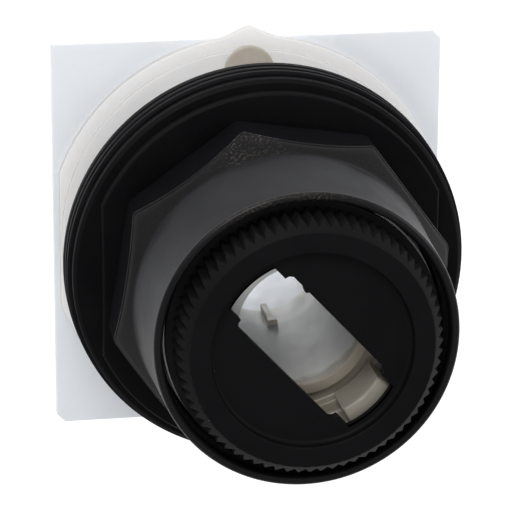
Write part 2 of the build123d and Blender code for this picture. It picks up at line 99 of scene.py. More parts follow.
HUB_R, SHOULDER_R, SHOULDER_BACK, SHOULDER_FRONT = 10.0, 13.4, -6.4, -4.5
DRIVE_KEY_INNER_R, DRIVE_KEY_HALF_SWEEP, DRIVE_KEY_BACK, DRIVE_KEY_END = 8.0, 17.0, 0.3, 34.9
KEY_HALF_WIDTH, KEY_ARC_Y, KEY_INNER_Y, KEY_CENTRE_Y = 2.7, 18.1, 15.3, 17.6


# ---- mesh helpers -----------------------------------------------------------
def angles(count, extra=()):
    """Evenly spaced angles round a circle, in radians, with extra ones in degrees."""
    spaced = [2 * pi * i / count for i in range(count)]
    added = [radians(a) % (2 * pi) for a in extra]
    kept = [t for t in spaced if all(abs(t - a) > 1e-4 for a in added)]
    return sorted(kept + added)


def rounded(points, steps=5):
    """Polyline through (a, b) or (a, b, radius) points, with the corners that have a radius rounded."""
    out = []
    for i, point in enumerate(points):
        radius = point[2] if len(point) > 2 else 0
        here = Vector(point[:2])
        if radius == 0 or i in (0, len(points) - 1):
            out.append(tuple(here))
            continue
        before = Vector(points[i - 1][:2]) - here
        after = Vector(points[i + 1][:2]) - here
        half = before.angle(after) / 2
        reach = min(radius / tan(half), before.length * 0.49, after.length * 0.49)
        radius = reach * tan(half)
        start = here + before.normalized() * reach
        stop = here + after.normalized() * reach
        centre = here + (before.normalized() + after.normalized()).normalized() * (radius / sin(half))
        first, last = start - centre, stop - centre
        for k in range(steps + 1):
            part = first.lerp(last, k / steps).normalized() * radius
            out.append(tuple(centre + part))
    return out


def finish_mesh(name, verts, faces, material, body, sharp):
    """Piece on a body, made from points in millimetres, with edges over the sharp angle kept crisp."""
    mesh = bpy.data.meshes.new(name)
    mesh.from_pydata([tuple(c * MM for c in v) for v in verts], [], faces)
    mesh.validate()
    mesh.polygons.foreach_set("use_smooth", [True] * len(mesh.polygons))
    mesh.set_sharp_from_angle(angle=radians(sharp))
    piece = bpy.data.objects.new(name, mesh)
    bpy.context.scene.collection.objects.link(piece)
    mesh.materials.append(material)
    even = piece.modifiers.new("even_normals", "WEIGHTED_NORMAL")
    even.keep_sharp = True
    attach(piece, body)
    return piece


def shell(name, rows, thetas, material, body, sharp):
    """Closed surface through rings of points. A row is (radius, height) or a function of the angle."""
    verts = []
    for row in rows:
        for t in thetas:
            r, z = row(t) if callable(row) else row
            verts.append((r * cos(t), r * sin(t), z))
    count = len(thetas)
    faces = []
    for i in range(len(rows)):
        a = i * count
        b = ((i + 1) % len(rows)) * count
        for j in range(count):
            k = (j + 1) % count
            faces.append((a + j, a + k, b + k, b + j))
    return finish_mesh(name, verts, faces, material, body, sharp)


def raised_block(name, outline, centre, levels, material, body, sharp):
    """Solid over an outline whose rim is drawn in towards the centre at each (inset, height)."""
    verts, faces = [], []
    for inset, z in levels:
        for point in outline:
            away = Vector(point) - centre
            drawn_in = centre + away * (1 - inset / away.length)
            verts.append((drawn_in.x, drawn_in.y, z))
    n = len(outline)
    for i in range(len(levels) - 1):
        for j in range(n):
            k = (j + 1) % n
            faces.append((i * n + j, i * n + k, (i + 1) * n + k, (i + 1) * n + j))
    faces.append(tuple(range(n))[::-1])
    faces.append(tuple(range((len(levels) - 1) * n, len(levels) * n)))
    return finish_mesh(name, verts, faces, material, body, sharp)


def outline_rows(outline, profile):
    """Rows that follow an outline(angle), each at (inset, height)."""
    return [lambda t, i=inset, z=z: (outline(t) - i, z) for inset, z in profile]


def polygon_radius(points):
    """Distance from the centre to a closed outline of straight sides, as a function of the angle."""
    def radius(t):
        d = Vector((cos(t), sin(t)))
        best = 0
        for i, p in enumerate(points):
            q = points[(i + 1) % len(points)]
            ex, ey = q[0] - p[0], q[1] - p[1]
            det = d.x * ey - d.y * ex
            if abs(det) < 1e-9:
                continue
            reach = (p[0] * ey - p[1] * ex) / det
            along = (p[0] * d.y - p[1] * d.x) / det
            if reach > 0 and -1e-6 <= along <= 1 + 1e-6:
                best = max(best, reach)
        return best
    return radius


# ---- materials ---------------------------------------------------------------
class Look:
    """A small wrapper that builds a node material."""

    def __init__(self, name):
        self.material = bpy.data.materials.new(name)
        self.material.use_nodes = True
        self.nodes = self.material.node_tree.nodes
        self.links = self.material.node_tree.links
        self.shader = self.nodes["Principled BSDF"]
        self.place = self.nodes.new("ShaderNodeTexCoord").outputs["Object"]

    def set(self, **values):
        for key, value in values.items():
            self.shader.inputs[key.replace("_", " ")].default_value = value
        return self

    def noise(self, scale, detail=4.0, roughness=0.6):
        node = self.nodes.new("ShaderNodeTexNoise")
        node.inputs["Scale"].default_value = scale / MM
        node.inputs["Detail"].default_value = detail
        node.inputs["Roughness"].default_value = roughness
        self.links.new(self.place, node.inputs["Vector"])
        return node.outputs["Fac"]

    def cells(self, scale):
        node = self.nodes.new("ShaderNodeTexVoronoi")
        node.inputs["Scale"].default_value = scale / MM
        self.links.new(self.place, node.inputs["Vector"])
        return node.outputs["Distance"]

    def ramp(self, value, stops):
        node = self.nodes.new("ShaderNodeValToRGB")
        ends = node.color_ramp.elements
        while len(ends) < len(stops):
            ends.new(0.5)
        for end, (place, colour) in zip(ends, stops):
            end.position = place
            end.color = (*colour, 1) if len(colour) == 3 else colour
        self.links.new(value, node.inputs["Fac"])
        return node.outputs["Color"]

    def spread(self, value, low, high, out_low, out_high):
        node = self.nodes.new("ShaderNodeMapRange")
        ends = {"From Min": low, "From Max": high, "To Min": out_low, "To Max": out_high}
        for key, number in ends.items():
            node.inputs[key].default_value = number
        self.links.new(value, node.inputs["Value"])
        return node.outputs["Result"]

    def maths(self, kind, a, b):
        node = self.nodes.new("ShaderNodeMath")
        node.operation = kind
        for socket, value in zip(node.inputs, (a, b)):
            if isinstance(value, (int, float)):
                socket.default_value = value
            else:
                self.links.new(value, socket)
        return node.outputs["Value"]

    def mix(self, amount, first, second):
        node = self.nodes.new("ShaderNodeMix")
        node.data_type = "RGBA"
        pairs = ((node.inputs["Factor"], amount), (node.inputs[6], first), (node.inputs[7], second))
        for socket, value in pairs:
            if isinstance(value, tuple):
                socket.default_value = (*value, 1)
            elif isinstance(value, (int, float)):
                socket.default_value = value
            else:
                self.links.new(value, socket)
        return node.outputs[2]

    def axis(self, which):
        node = self.nodes.new("ShaderNodeSeparateXYZ")
        self.links.new(self.place, node.inputs["Vector"])
        return node.outputs[which]

    def near(self, point, inner, outer):
        """1 within the inner distance of a point, falling to 0 at the outer distance."""
        node = self.nodes.new("ShaderNodeVectorMath")
        node.operation = "DISTANCE"
        node.inputs[1].default_value = tuple(c * MM for c in point)
        self.links.new(self.place, node.inputs[0])
        return self.spread(node.outputs["Value"], inner * MM, outer * MM, 1.0, 0.0)

    def colour(self, value):
        self.links.new(value, self.shader.inputs["Base Color"])
        return self

    def rough(self, value):
        self.links.new(value, self.shader.inputs["Roughness"])
        return self

    def bump(self, value, depth, strength=1.0):
        node = self.nodes.new("ShaderNodeBump")
        node.inputs["Distance"].default_value = depth * MM
        node.inputs["Strength"].default_value = strength
        self.links.new(value, node.inputs["Height"])
        self.links.new(node.outputs["Normal"], self.shader.inputs["Normal"])
        return self


def black_look(name, dark, light, rough_low, rough_high, grain=3.0, grain_depth=0.02, gloss=0.2,
               glint_colour=None, glint_spot=None):
    """Black moulded plastic with a fine grain, cloudy sheen and a few pale dust specks. With a glint
    colour it also has coarse bright grains painted as glints, a painted highlight, thickest at the glint
    spot (point, inner and outer distance)."""
    look = Look(name).set(IOR=1.45, Specular_IOR_Level=gloss)
    cloud = look.noise(0.12, 5, 0.65)
    base = look.ramp(cloud, [(0.3, dark), (0.72, light)])
    # Coarse bright grains painted as glints, a painted highlight, thickest round the given spot.
    if glint_colour:
        grains = look.spread(look.noise(4.0, 2, 0.5), 0.52, 0.66, 0, 1)
        patches = look.spread(look.noise(0.16, 3), 0.40, 0.62, 0.3, 1)
        glint_share = look.maths("ADD", look.near(*glint_spot), 0.06)
        amount = look.maths("MULTIPLY", grains, look.maths("MULTIPLY", patches, glint_share))
        base = look.mix(amount, base, glint_colour)
    specks = look.spread(look.cells(0.42), 0.02, 0.045, 1.0, 0.0)
    dusty = look.spread(look.noise(0.6, 2), 0.58, 0.64, 0, 0.30)
    look.colour(look.mix(look.maths("MULTIPLY", specks, dusty), base, (0.55, 0.54, 0.52)))
    look.rough(look.spread(cloud, 0.3, 0.75, rough_low, rough_high))
    look.bump(look.noise(grain, 3, 0.7), grain_depth)
    return look


def speckled_look(name, dark, light, colour_scale, roughness, rough_scale, grain, grain_depth,
                  grain_detail=4.0, **values):
    """Even material with slight colour variation, varied roughness (low, high) and a fine grain."""
    look = Look(name).set(**values)
    look.colour(look.ramp(look.noise(colour_scale), [(0.3, dark), (0.7, light)]))
    look.rough(look.spread(look.noise(rough_scale), 0.3, 0.7, *roughness))
    look.bump(look.noise(grain, grain_detail), grain_depth)
    return look


def black_materials():
    return {
        "moulding": black_look("ring_nut_black", (0.0034, 0.0034, 0.0052), (0.0066, 0.0066, 0.0096),
                               0.36, 0.50, grain=4.0, grain_depth=0.012, gloss=0.10),
        "facet": black_look("nut_facet_black", (0.003, 0.003, 0.0038), (0.006, 0.006, 0.0072),
                            0.72, 0.85, gloss=0.007),
        # Crown and lip carry bright grains painted as glints where their highlights fall.
        "crown": black_look("nut_crown_black", (0.004, 0.004, 0.0048), (0.009, 0.0085, 0.009),
                            0.46, 0.62, grain=3.2, grain_depth=0.035, gloss=0.11,
                            glint_colour=(0.075, 0.064, 0.054), glint_spot=((-4.0, 16.6, 21.2), 1.5, 6.0)),
        "lip": black_look("nut_lip_black", (0.004, 0.004, 0.005), (0.007, 0.0068, 0.007),
                          0.30, 0.42, grain=3.2, grain_depth=0.012, gloss=0.25,
                          glint_colour=(0.060, 0.046, 0.032), glint_spot=((-1.0, 15.0, LIP_FRONT), 3.0, 10.0)),
        "seat": black_look("knob_seat_black", (0.0032, 0.0032, 0.0036), (0.0050, 0.0050, 0.0055),
                           0.5, 0.62, grain=4.0, grain_depth=0.01, gloss=0.09),
        # Lighter copy of the seat's black for the tooth flanks and skirt: painted highlight on the flanks.
        "tooth": black_look("seat_side_black_lit", (0.005, 0.0052, 0.005), (0.010, 0.0104, 0.010),
                            0.45, 0.6, gloss=0.16),
        "washer": black_look("washer_black", (0.002, 0.002, 0.0025), (0.004, 0.004, 0.0045),
                             0.55, 0.7, gloss=0.10),
        "gasket": black_look("gasket_black", (0.003, 0.003, 0.0036), (0.008, 0.008, 0.009),
                             0.5, 0.7, grain=1.6, grain_depth=0.03, gloss=0.06),
    }


def white_nylon():
    """Natural nylon of the base: cool on the plate, warmer on the boss, darker behind the plate, with
    painted shade on the boss's step walls.
    """
    white = Look("white_nylon").set(Subsurface_Weight=0.3, Subsurface_Scale=0.0015, Specular_IOR_Level=0.15)
    white.shader.inputs["Subsurface Radius"].default_value = (1.0, 0.95, 0.85)
    plain, warm, step_shade = (0.765, 0.785, 0.81), (0.90, 0.885, 0.875), (0.62, 0.60, 0.58)
    height_share = white.spread(white.axis("Z"), -0.0011, 0.0001, 0.0, 1.0)
    # The darker step tone on the boss's side wall and inner step wall is painted shade.
    tone = white.ramp(height_share, [(0.09, plain), (0.13, step_shade), (0.68, step_shade), (0.70, warm),
                                     (0.715, warm), (0.735, step_shade), (0.87, step_shade), (0.91, warm)])
    streaks = white.spread(white.noise(0.9, 6, 0.75), 0.60, 0.74, 0.0, 0.3)
    behind_plate = white.spread(white.axis("Z"), -0.0026, -0.0021, 1.0, 0.0)
    natural = white.mix(behind_plate, tone, (0.56, 0.565, 0.57))
    clouds = white.spread(white.noise(0.035, 4), 0.3, 0.7, 0.10, 0.0)
    cloudy = white.mix(clouds, natural, (0.60, 0.62, 0.66))
    white.colour(white.mix(streaks, cloudy, (0.66, 0.63, 0.60)))
    white.rough(white.spread(white.noise(0.4), 0.3, 0.7, 0.42, 0.55))
    white.bump(white.noise(1.2, 3), 0.006)
    return white


def rotor_nylon():
    """Nylon of the rotor with light and shade painted in: pale at the rear as painted light through the
    bore, grey along the bore, browner at the front of the lower side as painted shade, paler at the front of
    the upper side as painted light.
    """
    rotor = Look("rotor_nylon").set(Subsurface_Weight=0.4, Subsurface_Scale=0.003, IOR=1.5)
    rotor.shader.inputs["Subsurface Radius"].default_value = (1.0, 0.93, 0.80)
    level = rotor.spread(rotor.axis("Z"), 0.0, 0.036, 0.0, 1.0)
    drift = rotor.maths("ADD", level, rotor.spread(rotor.noise(0.25, 4), 0.2, 0.8, -0.03, 0.03))
    # Colour by height is painted light and shade: lighter towards the rear where light through the bore is
    # painted, and painted shade in dark brown over the front face and drive key.
    wall = rotor.ramp(drift, [(0.17, (0.60, 0.63, 0.67)), (0.215, (0.66, 0.66, 0.61)),
                              (0.32, (0.70, 0.70, 0.66)), (0.37, (0.62, 0.62, 0.60)),
                              (0.78, (0.46, 0.46, 0.44)), (0.805, (0.25, 0.22, 0.175)),
                              (1.0, (0.26, 0.24, 0.205))])
    # Paler tone for the front of the upper side is painted light.
    pale = rotor.ramp(drift, [(0.80, (0.72, 0.72, 0.70)), (1.0, (0.80, 0.80, 0.78))])
    across = rotor.maths("SUBTRACT", rotor.axis("Y"), rotor.axis("X"))
    lit_upper_side = rotor.spread(across, -0.006, 0.010, 0.0, 1.0)
    front = rotor.spread(level, 0.80, 0.83, 0.0, 1.0)
    rotor.colour(rotor.mix(rotor.maths("MULTIPLY", lit_upper_side, front), wall, pale))
    rotor.rough(rotor.spread(rotor.noise(0.5), 0.3, 0.7, 0.33, 0.48))
    rotor.bump(rotor.noise(0.9, 3), 0.015)
    return rotor


def plain_materials():
    return {
        # Beige of the locating key is painted shade: the key sits under the black gasket's edge.
        "beige": speckled_look("beige_nylon", (0.48, 0.42, 0.35), (0.58, 0.53, 0.46), 0.2, (0.45, 0.6),
                               0.2, 1.5, 0.01, 3, Subsurface_Weight=0.3, Subsurface_Scale=0.002),
        "rib": speckled_look("rib_nylon", (0.60, 0.59, 0.53), (0.70, 0.69, 0.63), 0.6, (0.4, 0.55),
                             0.8, 1.5, 0.01, 3, Subsurface_Weight=0.4, Subsurface_Scale=0.002),
        "steel": speckled_look("plated_steel", (0.42, 0.42, 0.44), (0.60, 0.60, 0.62), 0.5, (0.25, 0.42),
                               1.5, 3.0, 0.004, Metallic=1.0),
        "brass": speckled_look("machined_brass", (0.60, 0.42, 0.16), (0.76, 0.56, 0.26), 0.5, (0.22, 0.38),
                               1.5, 2.0, 0.006, Metallic=1.0),
        "acetal": speckled_look("grey_acetal", (0.30, 0.31, 0.32), (0.38, 0.39, 0.40), 0.2, (0.35, 0.5),
                                0.8, 1.5, 0.01),
        "red": speckled_look("red_acetal", (0.36, 0.03, 0.02), (0.48, 0.05, 0.035), 0.2, (0.32, 0.46),
                             0.8, 1.5, 0.008),
    }


def make_materials():
    looks = {"white": white_nylon(), "rotor": rotor_nylon()} | black_materials() | plain_materials()
    return {key: look.material for key, look in looks.items()}


LOOKS = make_materials()

CAD_LOOKS = {
    "operator_base": "white", "locating_key": "beige", "gasket_rear": "gasket", "gasket_middle": "gasket",
    "gasket_front": "gasket", "clamp_washer": "washer", "trim_washer": "washer", "ring_nut": "moulding",
    "knob_seat": "seat", "rotor_sleeve": "rotor", "lamp_stop": "rib", "stop_pin": "steel",
    "neck_seal": "gasket", "thrust_washer": "steel", "retaining_ring": "steel", "detent_wheel": "acetal",
    "cam_ring": "acetal", "detent_plunger_upper": "steel", "detent_plunger_lower": "steel",
    "detent_spring_upper": "steel", "detent_spring_lower": "steel", "pusher_right": "red",
    "pusher_left": "red", "pusher_spring_right": "steel", "pusher_spring_left": "steel",
    "rear_cover": "white", "cover_screws": "steel", "mounting_inserts": "brass",
}


def dress_cad_nodes():
    for name, look in CAD_LOOKS.items():
        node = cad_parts[name]
        for slot in node.material_slots:
            slot.material = LOOKS[look]


# ---- stack of rubber layers and washers ----------------------------------------
def flat_sided(radius, half_x):
    return lambda t: min(radius, half_x / max(abs(cos(t)), 1e-6))


def flat_corner_angles(radius, half_x):
    a = degrees(acos(half_x / radius))
    return (a, 180 - a, 180 + a, 360 - a)


def gasket(node, radius):
    """Rubber layer with a rounded outer edge that leans out towards the front."""
    low, high = height(node, 0) + 0.02, height(node, 1) - 0.02
    thickness = height(node, 1) - height(node, 0)
    edge = [(STACK_BORE_R, low), (radius - 0.25, low, 0.1), (radius - 0.02, low + thickness * 0.12, 0.12),
            (radius, low + thickness * 0.80, 0.12), (radius - 0.25, high, 0.1), (STACK_BORE_R, high)]
    piece = shell(node + "_body", rounded(edge, 3), angles(256), LOOKS["gasket"], "clamp_stack", sharp=60)
    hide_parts(node)


def clamp_washer():
    low, high = height("clamp_washer", 0), height("clamp_washer", 1)
    edge = [(STACK_BORE_R, low), (CLAMP_R - 0.15, low, 0.1), (CLAMP_R, low + 0.2, 0.1),
            (CLAMP_R, high - 0.3, 0.25), (CLAMP_R - 0.4, high, 0.1), (STACK_BORE_R, high)]
    rows = rounded(edge, 4)
    piece = shell("clamp_washer_body", rows, angles(256), LOOKS["washer"], "clamp_stack", sharp=50)
    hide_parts("clamp_washer")


def trim_washer():
    low, high = height("trim_washer", 0), height("trim_washer", 1)
    outline = flat_sided(TRIM_R, TRIM_HALF_FLAT)
    edge = rounded([(0.05, low + 0.01), (0.0, low + 0.1), (0.0, high - 0.18, 0.1), (0.2, high, 0.1),
                    (0.6, high)], 4)
    rows = [(STACK_BORE_R, low + 0.01)] + outline_rows(outline, edge) + [(STACK_BORE_R, high)]
    thetas = angles(256, flat_corner_angles(TRIM_R, TRIM_HALF_FLAT))
    piece = shell("trim_washer_body", rows, thetas, LOOKS["washer"], "clamp_stack", sharp=50)
    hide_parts("trim_washer")


# ---- ring nut --------------------------------------------------------------------
def octagon(t):
    """Radius of the octagon with softened corners."""
    off = (degrees(t) - NUT_FIRST_CORNER) % 45
    off = off - 45 if off > 22.5 else off
    delta = radians(off)
    centre = NUT_CORNER_R - NUT_CORNER_ROUND / sin(radians(67.5))
    reach = atan2(NUT_CORNER_ROUND * sin(radians(22.5)), centre + NUT_CORNER_ROUND * cos(radians(22.5)))
    if abs(delta) < reach:
        return centre * cos(delta) + sqrt(NUT_CORNER_ROUND ** 2 - (centre * sin(delta)) ** 2)
    return NUT_CORNER_R * cos(radians(22.5)) / cos(radians(22.5) - abs(delta))


def cone_height(r):
    slope = (NUT_CORNER_R - BARREL_BASE_R) / (BARREL_BASE - NUT_CORNER_FRONT)
    return NUT_CORNER_FRONT + (NUT_CORNER_R - r) / slope


def facet_top(below, inset):
    """Row near the upper edge of the facets, which the cone cuts in arches."""
    return lambda t: (octagon(t) - inset, cone_height(octagon(t)) - below)


def on_cone(share):
    """Row of the cone, from the octagon's edge (0) to the foot of the barrel (1)."""
    def row(t):
        r = (octagon(t) - 0.3) * (1 - share) + (BARREL_BASE_R + 0.14) * share
        return r, cone_height(r)
    return row


def ring_nut():
    foot = NUT_FOOT_R
    rows = [(MOUTH_R, NUT_BACK), (foot - 0.2, NUT_BACK), (foot, NUT_BACK + 0.2), (foot, NUT_OCT_BACK)]
    rows += outline_rows(octagon, rounded([(0.9, NUT_OCT_BACK), (0.45, NUT_OCT_BACK, 0.2),
                                           (0, NUT_OCT_BACK + 0.5, 0.3), (0, NUT_OCT_BACK + 1.2)], 4)[1:])
    for below, inset in ((1.2, 0), (0.45, 0.0), (0.25, 0.02), (0.09, 0.08), (0.03, 0.18), (-0.3, 0.24)):
        rows.append(facet_top(below, inset))
    rows += [on_cone(s) for s in (0.25, 0.5, 0.75, 0.9, 1.0)]
    rise = LIP_FRONT - BARREL_BASE
    barrel = [(BARREL_BASE_R + 0.03, BARREL_BASE - 0.02), (BARREL_BASE_R - 0.03, BARREL_BASE + 0.25)]
    for i in range(1, 12):
        share = i / 12
        r = BARREL_BASE_R + (LIP_R - BARREL_BASE_R) * share ** 0.85
        barrel.append((r, BARREL_BASE + rise * share))
    step_r = MOUTH_R - MOUTH_STEP
    lip = rounded([barrel[-1], (LIP_R, LIP_FRONT, 0.42), (MOUTH_R, LIP_FRONT, 0.38),
                   (MOUTH_R, MOUTH_STEP_FRONT + 0.1, 0.1), (step_r, MOUTH_STEP_FRONT, 0.05),
                   (step_r, MOUTH_STEP_BACK)], 7)
    rows += barrel + lip[1:] + [(MOUTH_R, MOUTH_STEP_BACK - 0.2)]
    corners = [NUT_FIRST_CORNER + 45 * i + d for i in range(8) for d in (-2.6, -1.7, -0.9, 0, 0.9, 1.7, 2.6)]
    piece = shell("ring_nut_body", rows, angles(320, corners), LOOKS["moulding"], "ring_nut", sharp=40)
    # Crown and lip faces take the blacks with painted glints.
    for key in ("crown", "facet", "lip"):
        piece.data.materials.append(LOOKS[key])
    for face in piece.data.polygons:
        c = face.center / MM
        r = hypot(c.x, c.y)
        if c.z > LIP_FRONT - 0.5:
            face.material_index = 3
        elif r > BARREL_BASE_R and c.z < BARREL_BASE + 0.05:
            face.material_index = 1 if c.z > cone_height(r) - 0.25 else 2
    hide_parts("ring_nut")


# ---- knob seat ----------------------------------------------------------------------
def tooth_wave(t):
    """0 at a tooth's root and 1 at its tip."""
    phase = (t * SEAT_TEETH / (2 * pi)) % 1
    return abs(1 - 2 * phase)


def slot_points():
    """Outline of the slot, about the axis, turned to its place."""
    half, end, length = SLOT_HALF_WIDTH, SLOT_END_HALF_WIDTH, SLOT_HALF_LENGTH
    tip = sqrt(SLOT_END_R ** 2 - end ** 2)
    spread = degrees(atan2(end, tip))
    arc = [(SLOT_END_R * cos(radians(a)), SLOT_END_R * sin(radians(a)))
           for a in [-spread + 2 * spread * k / 12 for k in range(13)]]
    right = [(length / 2, -half), (length - 0.35, -half), (length, -half + 0.3), (length + 0.1, -end)] + arc
    right += [(length + 0.1, end), (length, half - 0.3), (length - 0.35, half), (length / 2, half)]
    left = [(-x, -y) for x, y in right]
    waist = [(-4.4, half), (-4.6, half - 0.25), (-5.0, half - 0.25), (-5.2, half)]
    points = right + left[:1] + waist + left[1:]
    turn = radians(SLOT_ANGLE)
    return [(x * cos(turn) - y * sin(turn), x * sin(turn) + y * cos(turn)) for x, y in points]


def knob_seat():
    outline_points = slot_points()
    slot = polygon_radius(outline_points)
    corner_angles = [degrees(atan2(y, x)) for x, y in outline_points]
    floor_top = SEAT_FRONT - RECESS_DEPTH
    floor_back = floor_top - SEAT_FLOOR

    def toothed(tip, root, z):
        return lambda t: (root + (tip - root) * tooth_wave(t), z)

    def crown(share):
        """Chamfer from the front face down to the teeth."""
        def row(t):
            full = SEAT_ROOT_R + (SEAT_TIP_R - SEAT_ROOT_R) * tooth_wave(t)
            r = SEAT_FACE_R + (full - SEAT_FACE_R) * share
            z = SEAT_FRONT - (r - SEAT_FACE_R) * 1.2
            return r, z
        return row

    rows = outline_rows(slot, [(0.0, floor_back), (0.0, floor_top - 0.05), (-0.05, floor_top)])
    for share in (0.33, 0.66):
        rows.append(lambda t, s=share: (slot(t) * (1 - s) + (RECESS_R - 0.8) * s, floor_top))
    rows += rounded([(RECESS_R - 0.9, floor_top), (RECESS_R, floor_top, 0.75),
                     (RECESS_R, SEAT_FRONT, 0.15), (SEAT_FACE_R - 0.1, SEAT_FRONT)], 6)
    rows += [(SEAT_FACE_R, SEAT_FRONT - 0.02), crown(0.08), crown(0.5), crown(1.0)]
    skirt_front, fit_r = SEAT_BACK + SEAT_SKIRT, ROTOR_CUP_R + 0.03
    rows += [toothed(SEAT_TIP_R, SEAT_ROOT_R, z) for z in (SEAT_FRONT - SEAT_CROWN_DEPTH, skirt_front)]
    rows += [(SEAT_SKIRT_R, skirt_front), (SEAT_SKIRT_R, SEAT_BACK), (fit_r, SEAT_BACK), (fit_r, floor_back)]
    thetas = angles(SEAT_TEETH * 12, corner_angles)
    piece = shell("knob_seat_body", rows, thetas, LOOKS["seat"], "rotor", sharp=30)
    # Tooth flanks and the skirt take the lighter black, painted light on the flanks.
    piece.data.materials.append(LOOKS["tooth"])
    for face in piece.data.polygons:
        c = face.center / MM
        toothed_side = hypot(c.x, c.y) > SEAT_FACE_R and abs(face.normal.z) < 0.2
        if toothed_side or c.z < skirt_front + 0.1:
            face.material_index = 1
    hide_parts("knob_seat")


# ---- white rotor ------------------------------------------------------------------------
def rotor():
    """Turned body: rear hub, shoulder, long sleeve, and the stepped cup behind the slot."""
    back, cup_floor = height("rotor_sleeve", 0), ROTOR_FACE + CUP_STEP
    groove_floor = ROTOR_FACE - CUP_STEP
    profile = [(REAR_BORE_R, back), (HUB_R, back, 0.2), (HUB_R, SHOULDER_BACK),
               (SHOULDER_R, SHOULDER_BACK, 0.2), (SHOULDER_R, SHOULDER_FRONT, 0.2),
               (ROTOR_R, SHOULDER_FRONT), (ROTOR_R, NECK_END + 0.05), (ROTOR_CUP_R, NECK_END + 0.05),
               (ROTOR_CUP_R, ROTOR_CUP_END, 0.15), (ROTOR_CUP_BORE_R, ROTOR_CUP_END, 0.15),
               (ROTOR_CUP_BORE_R, cup_floor, 0.5), (CUP_GROOVE_OUTER_R, cup_floor, 0.1),
               (CUP_GROOVE_OUTER_R, groove_floor, 0.3), (CUP_GROOVE_INNER_R, groove_floor, 0.3),
               (CUP_GROOVE_INNER_R, ROTOR_FACE, 0.15), (BORE_R, ROTOR_FACE, 0.12),
               (BORE_R, BORE_STEP, 0.05), (BORE_STEP_R, BORE_STEP - 0.1), (BORE_STEP_R, BORE_BACK, 0.1),
               (REAR_BORE_R, BORE_BACK - 0.2), (REAR_BORE_R, back)]
    rows = rounded(profile, 5)[:-1]
    piece = shell("rotor_body", rows, angles(192), LOOKS["rotor"], "rotor", sharp=40)
    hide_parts("rotor_sleeve")


def drive_key():
    """Raised block at the lower end of the slot that a knob leg bears on."""
    count, outer = 14, ROTOR_CUP_BORE_R + 0.2
    start = SLOT_ANGLE - DRIVE_KEY_HALF_SWEEP
    sweep = [radians(start + 2 * DRIVE_KEY_HALF_SWEEP * k / count) for k in range(count + 1)]
    rim = [(outer * cos(a), outer * sin(a)) for a in sweep]
    rim += [(DRIVE_KEY_INNER_R * cos(a), DRIVE_KEY_INNER_R * sin(a)) for a in reversed(sweep)]
    middle = Vector((sum(p[0] for p in rim), sum(p[1] for p in rim))) / len(rim)
    high = DRIVE_KEY_END
    levels = [(0, ROTOR_FACE + DRIVE_KEY_BACK), (0, high - 0.5), (0.06, high - 0.2), (0.18, high - 0.05),
              (0.35, high)]
    piece = raised_block("rotor_drive_key", rim, middle, levels, LOOKS["rotor"], "rotor", 50)


# ---- white base ---------------------------------------------------------------------------
def plate_points():
    cut = PLATE_CHAMFER
    return [(PLATE_RIGHT, PLATE_BOTTOM), (PLATE_RIGHT, PLATE_TOP - cut), (PLATE_RIGHT - cut, PLATE_TOP),
            (PLATE_LEFT, PLATE_TOP), (PLATE_LEFT, PLATE_BOTTOM + cut), (PLATE_LEFT + cut, PLATE_BOTTOM)]


def rounded_box(half_x, half_y, corner):
    """Points of a rectangle with rounded corners, about the axis."""
    points = []
    for quarter, (sx, sy) in enumerate(((1, 1), (-1, 1), (-1, -1), (1, -1))):
        for k in range(7):
            a = pi / 2 * (quarter + k / 6)
            points.append((sx * (half_x - corner) + corner * cos(a),
                           sy * (half_y - corner) + corner * sin(a)))
    return points


def boss_outline():
    pointer = polygon_radius(POINTER + [(-4.4, 0), (4.4, 0)])
    circle = flat_sided(BOSS_R, BOSS_HALF_X)
    edge = atan2(POINTER[0][1], POINTER[0][0])

    def radius(t):
        return max(circle(t), pointer(t)) if edge < t < pi - edge else circle(t)
    return radius


def point_angles(points):
    return [degrees(atan2(y, x)) for x, y in points]


